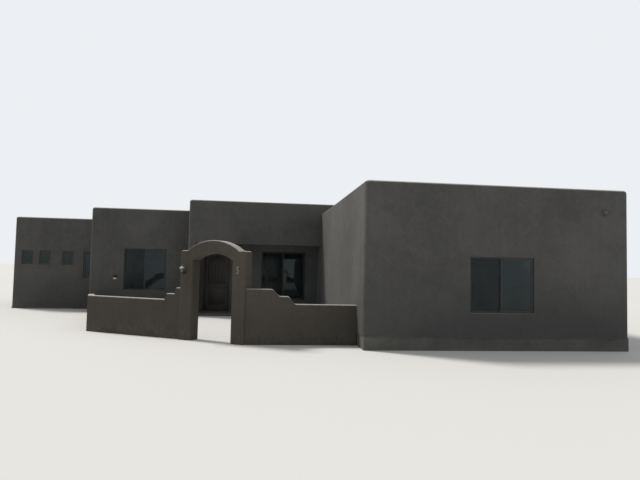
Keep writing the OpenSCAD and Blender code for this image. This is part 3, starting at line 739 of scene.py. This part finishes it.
def sash(low, high, width):
    """A sash, its rubber and its pane."""
    metal = finish_edges(ring(low, high, width), 0.002)
    middle = (low[1] + high[1]) / 2
    rim = width - 0.004
    seal = ring(
        (low[0] + rim, middle - 0.0095, low[2] + rim),
        (high[0] - rim, middle + 0.0095, high[2] - rim),
        0.009,
    )
    seal = finish_edges(seal, 0.0015)
    pane = block(
        (low[0] + width - 0.002, middle - 0.007, low[2] + width - 0.002),
        (high[0] - width + 0.002, middle + 0.007, high[2] - width + 0.002),
    )
    return metal, seal, finish_edges(pane, 0.0012)


def window_set(width, height, lights):
    """The metal, rubber and glass of one window, each a single piece, and a slider's screen."""
    depth = 0.07
    outer = 0.028
    metal = [finish_edges(ring((0, 0, 0), (width, depth, height), outer), 0.003)]
    lip = block((0.004, -0.012, 0.003), (width - 0.004, 0.006, 0.016))
    with editing(lip, "EDGE", lambda c, d: c.y < 0 and c.z > 0.01 and abs(d.x) > 0.9):
        bpy.ops.transform.translate(value=(0, 0, -0.006))
    metal.append(finish_edges(lip, 0.0015))
    stile = 0.034
    edge = outer - 0.001
    mesh = []
    if lights == 2:
        meet = width / 2
        sashes = [
            sash((edge, 0.033, edge), (meet + stile / 2, 0.062, height - edge), stile),
            sash((meet - stile / 2, 0.006, edge), (width - edge, 0.035, height - edge), stile),
        ]
        latch = block((meet - 0.012, 0.055, height * 0.46), (meet + 0.008, 0.068, height * 0.46 + 0.07))
        pull = block((meet - 0.004, 0.001, height * 0.44), (meet + 0.003, 0.008, height * 0.56))
        metal += [finish_edges(latch, 0.003), finish_edges(pull, 0.002)]
        screen_edge = meet - stile / 2 - 0.002
        rim = ring((edge, 0.014, edge), (screen_edge, 0.024, height - edge), 0.016)
        metal.append(finish_edges(rim, 0.0015))
        lap = 0.014
        sheet = block(
            (edge + lap, 0.0185, edge + lap),
            (screen_edge - lap, 0.0195, height - edge - lap),
        )
        mesh.append(finish_edges(sheet, 0.0002, 1))
        hoods = [width * 0.16, width * 0.8]
    else:
        sashes = [sash((edge, 0.006, edge), (width - edge, 0.035, height - edge), stile)]
        hoods = [width * 0.45]
    for x in hoods:
        hood = block((x, -0.004, 0.0175), (x + 0.038, 0.001, 0.0255))
        metal.append(finish_edges(hood, 0.0015))
    metal += [s[0] for s in sashes]
    return [
        joined(metal),
        joined([s[1] for s in sashes]),
        joined([s[2] for s in sashes]),
        *mesh,
    ]


def window_place(low, high, back):
    """Width of a window, its corner at the lower left from outside, and its turn."""
    if high.x - low.x < high.y - low.y:
        return high.y - low.y, Vector((high.x, low.y, low.z)), math.pi / 2
    if back:
        return high.x - low.x, Vector((high.x, high.y, low.z)), math.pi
    return high.x - low.x, Vector((low.x, low.y, low.z)), 0.0


window_sizes = {}


def windows(node, lights, back):
    """Copies of the drawn windows at every frame of a CAD node."""
    sets = []
    for low, high in solid_boxes(node):
        width, corner, turn = window_place(low, high, back)
        size = (round(width, 3), round(high.z - low.z, 3), lights)
        if size not in window_sizes:
            window_sizes[size] = window_set(*size)
        sets.append([carry(twin(part), corner, turn) for part in window_sizes[size]])
    return [joined(list(parts)) for parts in zip(*sets)]


large_metal, large_rubber, large_glass, large_screen = windows("front_window_frames", 2, False)
small_metal, small_rubber, small_glass = windows("end_window_frames", 1, False)
rear_metal, rear_rubber, rear_pane, rear_screen = windows("rear_window_frames", 2, True)
for drawn in window_sizes.values():
    for part in drawn:
        bpy.data.objects.remove(part)
dress(large_metal, "large_window_metal", bronze, stands_for=["front_window_frames"])
dress(small_metal, "small_window_metal", bronze, stands_for=["end_window_frames"])
dress(rear_metal, "rear_window_metal", bronze, stands_for=["rear_window_frames"])
front_glass = joined([large_glass, small_glass])
dress(front_glass, "front_window_panes", glass, stands_for=["front_window_glass"])
dress(rear_pane, "rear_window_panes", glass, stands_for=["rear_window_glass"])
dress(joined([large_rubber, small_rubber, rear_rubber]), "window_rubber", rubber)
dress(joined([large_screen, rear_screen]), "insect_screens", screen)


# Front door: arched leaf of stiles, rails and sunk panels, drawn with its middle on x = 0

leaf_low, leaf_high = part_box("door_leaf")
leaf_w = leaf_high.x - leaf_low.x
leaf_mid = (leaf_low.x + leaf_high.x) / 2
leaf_t = leaf_high.y - leaf_low.y
arch_r = 0.64
arch_z = leaf_high.z - arch_r


def arched(inset, foot, top_drop, y0, y1):
    """Slab with an arched top, inside the leaf's outline by an inset."""
    half = leaf_w / 2 - inset
    radius = arch_r - top_drop
    slab = block((-half, y0, foot), (half, y1, arch_z + radius + 0.01))
    deselect()
    bpy.ops.mesh.primitive_cylinder_add(
        vertices=160,
        radius=radius,
        depth=1.0,
        location=(0, (y0 + y1) / 2, arch_z),
        rotation=(math.pi / 2, 0, 0),
    )
    tool = settle(bpy.context.object)
    with editing(tool, "VERT", lambda c, n: c.z < arch_z - 0.01):
        bpy.ops.transform.translate(value=(0, 0, -2.2))
    return carve(slab, tool, "INTERSECT")


stile = 0.125
mid_rail = leaf_low.z + 0.93
rail_h = 0.15
foot_rail = 0.22
board_sink = 0.012
groove_half = 0.0035
y_out, y_in = 0.0, leaf_t
skeleton = arched(0, leaf_low.z, 0, y_out, y_in)
upper = arched(stile, mid_rail + rail_h / 2, stile, y_out - 0.01, y_in + 0.01)
carve(skeleton, upper)
lower = block(
    (-leaf_w / 2 + stile, y_out - 0.01, leaf_low.z + foot_rail),
    (leaf_w / 2 - stile, y_in + 0.01, mid_rail - rail_h / 2),
)
carve(skeleton, lower)
finish_edges(skeleton, 0.004, 3)
board_y0, board_y1 = y_out + board_sink, y_in - board_sink
seat = 0.012
upper_boards = arched(stile - seat, mid_rail + rail_h / 2 - seat, stile - seat, board_y0, board_y1)
board_w = (leaf_w - 2 * stile) / 5
for i in range(1, 5):
    x = -leaf_w / 2 + stile + i * board_w
    for y in (board_y0, board_y1):
        groove = block((-groove_half, -groove_half, 0.5), (groove_half, groove_half, 2.5))
        groove.rotation_euler = (0, 0, math.pi / 4)
        settle(groove)
        carve(upper_boards, carry(groove, (x, y, 0)))
finish_edges(upper_boards, 0.0012)
panel = block(
    (-leaf_w / 2 + stile - seat, board_y0 + 0.004, leaf_low.z + foot_rail - seat),
    (leaf_w / 2 - stile + seat, board_y1 - 0.004, mid_rail - rail_h / 2 + seat),
)
with editing(panel, "FACE", lambda c, n: abs(n.y) > 0.9):
    bpy.ops.mesh.inset(thickness=0.055)
    bpy.ops.mesh.inset(thickness=0.022, depth=0.007)
finish_edges(panel, 0.002)
leaf_parts = [skeleton, upper_boards, panel]
leaf_corner = Vector((leaf_mid, leaf_low.y, 0))
for part in leaf_parts:
    carry(part, leaf_corner)
dress(
    joined(leaf_parts),
    "door_leaf_boards",
    upright_timber,
    body="front_door",
    stands_for=["door_leaf"],
)

# Rails over the skeleton's own faces, so that their grain runs across
rails = []
for z0, z1 in ((leaf_low.z + 0.004, leaf_low.z + 0.216), (mid_rail - 0.071, mid_rail + 0.071)):
    for y0, y1 in ((-0.0006, 0.004), (leaf_t - 0.004, leaf_t + 0.0006)):
        rail = block((-leaf_w / 2 + stile, y0, z0), (leaf_w / 2 - stile, y1, z1))
        with editing(rail, "FACE", lambda c, n: abs(n.y) > 0.9):
            bpy.ops.mesh.inset(thickness=0.002)
        rails.append(carry(finish_edges(rail, 0.0005), leaf_corner))
dress(joined(rails), "door_rails", cross_timber, body="front_door")

# Threshold outside the leaf, between the door's jambs
frame_low, frame_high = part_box("door_frame")
threshold = block(
    (frame_low.x + 0.03, frame_low.y - 0.015, frame_low.z),
    (frame_high.x - 0.03, leaf_low.y - 0.006, frame_low.z + 0.014),
)


def outer_lip(c, d):
    return c.z > frame_low.z + 0.01 and abs(d.x) > 0.9 and c.y < frame_low.y


with editing(threshold, "EDGE", outer_lip):
    bpy.ops.transform.translate(value=(0, 0, -0.009))
dress(finish_edges(threshold, 0.002), "door_threshold", bronze)


# Levers and bolts on both faces, drawn at the origin with the face of the leaf on y = 0


def lever_set(side):
    """side is -1 outside and 1 inside; the lever points towards the hinges."""
    rose = bar((0, 0, 0), (0, side * 0.009, 0), 0.028, 48)
    with editing(rose, "FACE", lambda c, n: n.y * side > 0.9):
        bpy.ops.mesh.inset(thickness=0.006)
        bpy.ops.mesh.inset(thickness=0.003, depth=0.003)
    neck = bar((0, 0, 0), (0, side * 0.048, 0), 0.0095, 32)
    grip = block((-0.108, side * 0.048 - 0.008, -0.0085), (0.011, side * 0.048 + 0.008, 0.0085))
    with editing(grip, "FACE", lambda c, n: n.x < -0.9):
        bpy.ops.transform.resize(value=(1, 0.7, 1.25))
        bpy.ops.transform.translate(value=(0, -side * 0.006, 0))
    return joined([finish_edges(rose, 0.001), neck, finish_edges(grip, 0.005, 4)])


def bolt_set(side):
    rose = bar((0, 0, 0), (0, side * 0.011, 0), 0.026, 48)
    with editing(rose, "FACE", lambda c, n: n.y * side > 0.9):
        bpy.ops.mesh.inset(thickness=0.008)
        bpy.ops.mesh.inset(thickness=0.002, depth=0.004)
    if side < 0:
        turn = bar((0, 0, 0), (0, -0.019, 0), 0.012, 32)
        slit = block((-0.001, -0.022, -0.005), (0.001, -0.016, 0.005))
        turn = carve(turn, slit)
    else:
        turn = block((-0.003, 0.008, -0.014), (0.003, 0.022, 0.014))
    return joined([finish_edges(rose, 0.001), finish_edges(turn, 0.0012)])


gear_low, gear_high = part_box("door_hardware")
lever_x = gear_high.x - 0.028
lever_z = gear_low.z + 0.028
gear = []
for side, face in ((-1, leaf_low.y), (1, leaf_high.y)):
    gear.append(carry(lever_set(side), (lever_x, face, lever_z)))
    gear.append(carry(bolt_set(side), (lever_x, face, lever_z + 0.14)))
dress(joined(gear), "door_levers", iron, body="front_door", stands_for=["door_hardware"])


# Lantern and house number on the gateway, drawn with the pier's face on y = 0

GATE_CORNER = Vector((-1.54735, -6.275, 0))
GATE_TURN = -math.radians(30)
LANTERN_OUT = -0.110
CAGE_R = 0.0435


def on_gate(obj, x, z):
    """Carries a piece to a place along the gateway's face."""
    carry(obj, (x, 0, z))
    return carry(obj, GATE_CORNER, GATE_TURN)


def lantern_metal():
    """Plate, arm, six-sided cage and stem, above a foot at z = 0."""
    out = LANTERN_OUT
    plate = bar((0, 0, 0.040), (0, -0.008, 0.040), 0.038, 48)
    with editing(plate, "FACE", lambda c, n: n.y < -0.9):
        bpy.ops.mesh.inset(thickness=0.009)
        bpy.ops.mesh.inset(thickness=0.004, depth=0.004)
    parts = [finish_edges(plate, 0.0015)]
    parts.append(bar((0, 0, 0.040), (0, out, 0.040), 0.0065, 20))
    deselect()
    bpy.ops.mesh.primitive_torus_add(
        major_segments=40,
        minor_segments=12,
        major_radius=0.0130,
        minor_radius=0.0035,
        location=(0, -0.044, 0.0235),
        rotation=(0, math.pi / 2, 0),
    )
    parts.append(settle(bpy.context.object))
    parts.append(bar((0, out, 0.026), (0, out, 0.056), 0.0075, 20))
    parts.append(ball((0, out, 0.022), 0.010))
    cup = bar((0, out, 0.048), (0, out, 0.053), 0.024, 6)
    with editing(cup, "FACE", lambda c, n: n.z > 0.9):
        bpy.ops.mesh.extrude_region_move(TRANSFORM_OT_translate={"value": (0, 0, 0.005)})
        bpy.ops.transform.resize(value=(1.9, 1.9, 1))
        bpy.ops.mesh.extrude_region_move(TRANSFORM_OT_translate={"value": (0, 0, 0.004)})
    parts.append(finish_edges(cup, 0.0008))
    post = finish_edges(block((-0.0025, -0.0025, 0.060), (0.0025, 0.0025, 0.147)), 0.0006)
    for i in range(6):
        angle = math.radians(60 * i)
        spot = (CAGE_R * math.cos(angle), out + CAGE_R * math.sin(angle), 0)
        parts.append(carry(twin(post), spot, angle))
    bpy.data.objects.remove(post)
    return joined(parts)


def lantern_roof():
    """Flared six-sided roof with a turned finial."""
    out = LANTERN_OUT
    roof = bar((0, out, 0.143), (0, out, 0.147), 0.075, 6)
    steps = ((0.008, 0.80), (0.014, 0.72), (0.018, 0.62), (0.005, 0.90), (0.006, 1.12), (0.005, 0.55))
    with editing(roof, "FACE", lambda c, n: n.z > 0.9):
        for rise, shrink in steps:
            bpy.ops.mesh.extrude_region_move(TRANSFORM_OT_translate={"value": (0, 0, rise)})
            bpy.ops.transform.resize(value=(shrink, shrink, 1))
    stem = bar((0, out, 0.198), (0, out, 0.226), 0.004, 16)
    return joined([finish_edges(roof, 0.0008), stem, ball((0, out, 0.231), 0.009)])


def lantern_pane():
    chimney = bar((0, LANTERN_OUT, 0.0605), (0, LANTERN_OUT, 0.1445), 0.0400, 6)
    with editing(chimney, "FACE", lambda c, n: abs(n.z) < 0.1):
        bpy.ops.mesh.inset(thickness=0.004, depth=-0.001, use_individual=True)
    return finish_edges(chimney, 0.0008)


lantern_at = (0.14, 1.55)
for piece, name, finish, slot, solid in (
    (lantern_metal(), "lantern_ironwork", iron, "black_metal", "lantern_body"),
    (lantern_roof(), "lantern_roof", highlit_lantern_iron, "black_metal", "lantern_body"),
    (lantern_pane(), "lantern_chimney", lantern_glass, "lantern_glass", "lantern_glass"),
):
    dress(on_gate(piece, *lantern_at), name, finish, stands_for=[solid])


def numeral(character, height):
    """A narrow metal figure that stands off the wall on y = 0."""
    deselect()
    bpy.ops.object.text_add(rotation=(math.pi / 2, 0, 0))
    obj = bpy.context.object
    obj.data.body = character
    obj.data.size = height / 0.7
    obj.data.align_x = "CENTER"
    obj.data.extrude = 0.004
    obj.data.bevel_depth = 0.0015
    obj.data.bevel_resolution = 2
    bpy.ops.object.convert(target="MESH")
    obj.scale = (0.78, 1, 1)
    return carry(settle(obj), (0, -0.009, 0))


digit = on_gate(numeral("5", 0.17), 1.61, 1.60)
dress(digit, "house_number", number_metal)


# Small fittings on the walls


def half_round(radius, z0, z1):
    """The front half of an upright cylinder, its flat back on y = 0."""
    drum = bar((0, 0, z0), (0, 0, z1), radius, 64)
    with editing(drum, "FACE", lambda c, n: True):
        bpy.ops.mesh.bisect(plane_co=(0, 0, 0), plane_no=(0, 1, 0), clear_outer=True, use_fill=True)
    return drum


def wall_lamp():
    """Half-round lamp with a metal hood over a pale lens, its back on y = 0."""
    low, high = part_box("wall_lamp")
    radius = (high.x - low.x) / 2
    tall = high.z - low.z
    hood = half_round(radius, tall / 2, tall)
    with editing(hood, "FACE", lambda c, n: n.z > 0.9):
        bpy.ops.mesh.inset(thickness=0.007)
        bpy.ops.transform.translate(value=(0, 0, -0.003))
    rim = half_round(radius - 0.001, tall / 2 - 0.008, tall / 2 + 0.002)
    plate = half_round(radius * 0.35, 0, 0.010)
    lens = half_round(radius - 0.008, 0.006, tall / 2 + 0.001)
    with editing(lens, "FACE", lambda c, n: n.z < -0.9):
        bpy.ops.mesh.inset(thickness=0.010)
        bpy.ops.mesh.inset(thickness=0.002, depth=-0.003)
    metal = joined([finish_edges(part, 0.0015) for part in (hood, rim, plate)])
    corner = Vector(((low.x + high.x) / 2, high.y, low.z))
    return carry(metal, corner), carry(finish_edges(lens, 0.003, 3), corner)


lamp_hood, lamp_lens = wall_lamp()
dress(lamp_hood, "wall_lamp_hood", iron, stands_for=["wall_lamp"])
dress(lamp_lens, "wall_lamp_lens", lens_glass)


def vent_hood():
    """Round vent: flange, collar and a ring sunk in its face, with its back on y = 0."""
    low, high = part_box("vent_cap")
    radius = (high.z - low.z) / 2
    out = high.y - low.y
    cap = bar((0, 0, 0), (0, -0.014, 0), radius, 96)
    with editing(cap, "FACE", lambda c, n: n.y < -0.9):
        bpy.ops.mesh.inset(thickness=radius - 0.072)
        bpy.ops.mesh.extrude_region_move(TRANSFORM_OT_translate={"value": (0, 0.014 - out, 0)})
        bpy.ops.mesh.inset(thickness=0.012)
        bpy.ops.mesh.inset(thickness=0.001, depth=-0.015)
        bpy.ops.mesh.inset(thickness=0.012)
        bpy.ops.mesh.inset(thickness=0.001, depth=0.014)
        bpy.ops.mesh.inset(thickness=0.030)
        bpy.ops.mesh.inset(thickness=0.004, depth=-0.003)
    parts = [finish_edges(cap, 0.0012)]
    reach = 0.084
    for angle in (45, 135, 225, 315):
        spot = (reach * math.cos(math.radians(angle)), 0, reach * math.sin(math.radians(angle)))
        screw = bar((0, 0, 0), (0, -0.017, 0), 0.004, 12)
        parts.append(carry(finish_edges(screw, 0.001), spot))
    centre = Vector(((low.x + high.x) / 2, high.y, (low.z + high.z) / 2))
    return carry(joined(parts), centre)


dress(vent_hood(), "round_vent", vent_paint, stands_for=["vent_cap"])

# Metal screed that shows as a thin line under the right block's stucco
wall_low, wall_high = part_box("right_front_wall")
stem_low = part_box("right_foundation")[0]
outer_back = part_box("right_outer_wall")[1].y - 0.02
inner_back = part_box("right_inner_wall")[1].y
strip_h = 0.009
strip_foot = wall_low.z - strip_h
screed = [
    block(
        (wall_low.x + 0.1, wall_low.y + 0.001, strip_foot),
        (wall_high.x - 0.1, stem_low.y + 0.002, wall_low.z),
    ),
    block(
        (wall_high.x - 0.018, wall_low.y + 0.1, strip_foot),
        (wall_high.x - 0.001, outer_back, wall_low.z),
    ),
    block(
        (wall_low.x + 0.001, wall_low.y + 0.1, strip_foot),
        (wall_low.x + 0.018, inner_back, wall_low.z),
    ),
]
dress(joined([finish_edges(s, 0.001) for s in screed]), "weep_screed", vent_paint)


# Floor, light and camera

floor_finish = Finish("studio_floor")
shade = floor_finish.noise(0.05, detail=2)
floor_material = floor_finish.wear(
    Base_Color=floor_finish.tint(shade, (0.62, 0.61, 0.59), (0.66, 0.65, 0.63)),
    Roughness=0.9,
    Specular_IOR_Level=0.1,
)
deselect()
bpy.ops.mesh.primitive_plane_add(size=900, location=(0, 0, -0.001))
floor = settle(bpy.context.object)
floor.name = "studio_floor"
floor.data.materials.append(floor_material)

world = bpy.data.worlds.new("studio")
bpy.context.scene.world = world
world.use_nodes = True
sky = world.node_tree
lit = sky.nodes["Background"]
lit.inputs["Color"].default_value = (0.93, 0.96, 1.0, 1)
lit.inputs["Strength"].default_value = 0.52
seen = sky.nodes.new("ShaderNodeBackground")
seen.inputs["Color"].default_value = (0.84, 0.87, 0.90, 1)
seen.inputs["Strength"].default_value = 1.0
ray = sky.nodes.new("ShaderNodeLightPath")
choose = sky.nodes.new("ShaderNodeMixShader")
shown = ray.outputs["Is Camera Ray"]
for kind in ("Is Glossy Ray", "Is Transmission Ray"):
    either = sky.nodes.new("ShaderNodeMath")
    either.operation = "MAXIMUM"
    sky.links.new(shown, either.inputs[0])
    sky.links.new(ray.outputs[kind], either.inputs[1])
    shown = either.outputs[0]
sky.links.new(shown, choose.inputs[0])
sky.links.new(lit.outputs[0], choose.inputs[1])
sky.links.new(seen.outputs[0], choose.inputs[2])
sky.links.new(choose.outputs[0], sky.nodes["World Output"].inputs["Surface"])

key = bpy.data.objects.new("key", bpy.data.lights.new("key", "SUN"))
bpy.context.scene.collection.objects.link(key)
key.data.energy = 3.0
key.data.angle = math.radians(12)
key.data.color = (1.0, 0.97, 0.91)
key.rotation_mode = "QUATERNION"
key.rotation_quaternion = Vector((0.62, -0.45, -0.95)).to_track_quat("-Z", "Y")

fill = bpy.data.objects.new("fill", bpy.data.lights.new("fill", "SUN"))
bpy.context.scene.collection.objects.link(fill)
fill.data.energy = 0.2
fill.data.angle = math.radians(60)
fill.data.color = (1.0, 0.97, 0.93)
fill.rotation_mode = "QUATERNION"
fill.rotation_quaternion = Vector((-0.80, 0.30, -0.50)).to_track_quat("-Z", "Y")

yaw, pitch, roll = 0.1207, 0.0527, 0.0227
ahead = Vector((math.sin(yaw) * math.cos(pitch), math.cos(yaw) * math.cos(pitch), math.sin(pitch)))
right = Vector((math.cos(yaw), -math.sin(yaw), 0))
up = right.cross(ahead)
right, up = (
    right * math.cos(roll) + up * math.sin(roll),
    up * math.cos(roll) - right * math.sin(roll),
)
camera = bpy.data.objects.new("camera", bpy.data.cameras.new("camera"))
bpy.context.scene.collection.objects.link(camera)
camera.data.sensor_width = 36
camera.data.lens = 30.375
camera.data.clip_end = 2000
axes = Matrix((right, up, -ahead)).transposed()
eye = (0.202, -19.570, 1.766)
camera.matrix_world = Matrix.Translation(eye) @ axes.to_4x4()
bpy.context.scene.camera = camera

bpy.context.scene.view_settings.view_transform = "Standard"
